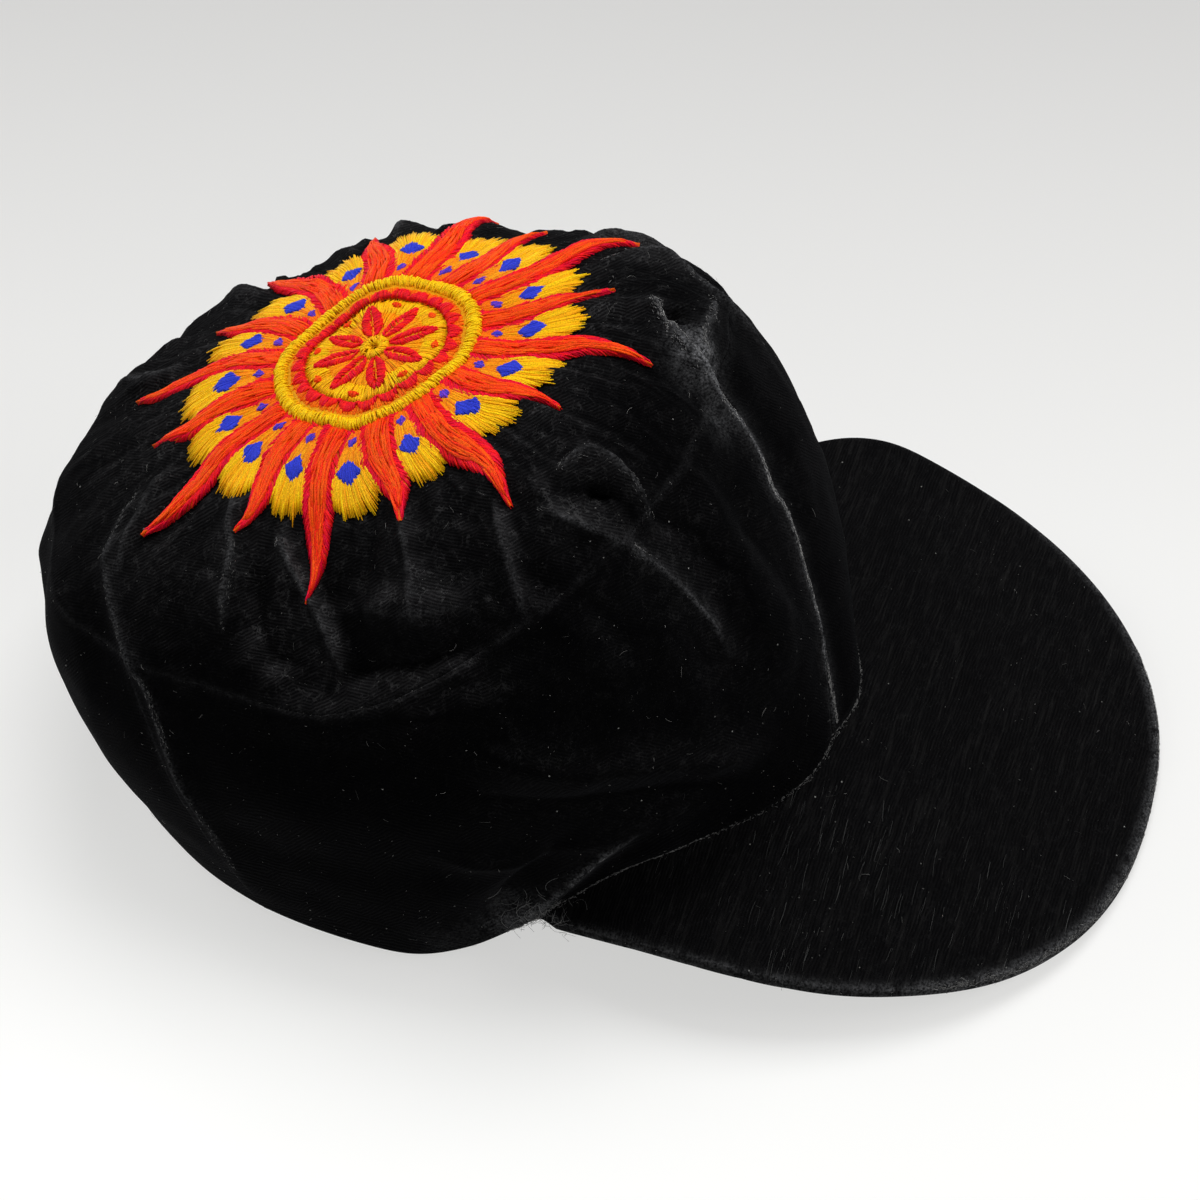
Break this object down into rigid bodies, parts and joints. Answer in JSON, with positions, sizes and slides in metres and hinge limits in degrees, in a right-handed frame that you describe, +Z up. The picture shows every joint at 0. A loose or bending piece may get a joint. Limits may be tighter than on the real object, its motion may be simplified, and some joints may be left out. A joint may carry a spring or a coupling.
{
  "type": "soft velvet cap",
  "caption": "Soft velvet cap with a tall slouched crown, a broad brim and an embroidered sun rosette on top.",
  "frame": {"origin": "middle of the box that the cap fills on the surface it rests on", "axes": "+Z up, -Y the way the brim points, -X the right side of the person who wears it"},
  "size_m": [0.1969, 0.277, 0.1311],
  "materials": {
    "velvet": "black cotton velvet, worn pale at the seams and the brim edge",
    "red_thread": "satin stitch in red and orange thread",
    "gold_thread": "satin stitch in golden yellow thread with blue lozenges",
    "yellow_thread": "padded satin stitch in yellow thread",
    "crimson_thread": "satin stitch in crimson and gold thread"
  },
  "bodies": {
    "root": {"crown_top": "velvet", "side_panel_right": "velvet", "side_panel_left": "velvet", "back_panel": "velvet", "brim": "velvet", "sun_centre": "crimson_thread", "sun_ring": "yellow_thread", "ray_01": "red_thread", "ray_02": "red_thread", "ray_03": "red_thread", "ray_04": "red_thread", "ray_05": "red_thread", "ray_06": "red_thread", "ray_07": "red_thread", "ray_08": "red_thread", "ray_09": "red_thread", "ray_10": "red_thread", "ray_11": "red_thread", "ray_12": "red_thread", "ray_13": "red_thread", "ray_14": "red_thread", "ray_15": "red_thread", "ray_16": "red_thread", "petal_01": "gold_thread", "petal_02": "gold_thread", "petal_03": "gold_thread", "petal_04": "gold_thread", "petal_05": "gold_thread", "petal_06": "gold_thread", "petal_07": "gold_thread", "petal_08": "gold_thread", "petal_09": "gold_thread", "petal_10": "gold_thread", "petal_11": "gold_thread", "petal_12": "gold_thread", "petal_13": "gold_thread", "petal_14": "gold_thread", "petal_15": "gold_thread", "petal_16": "gold_thread"}
  },
  "joints": []
}
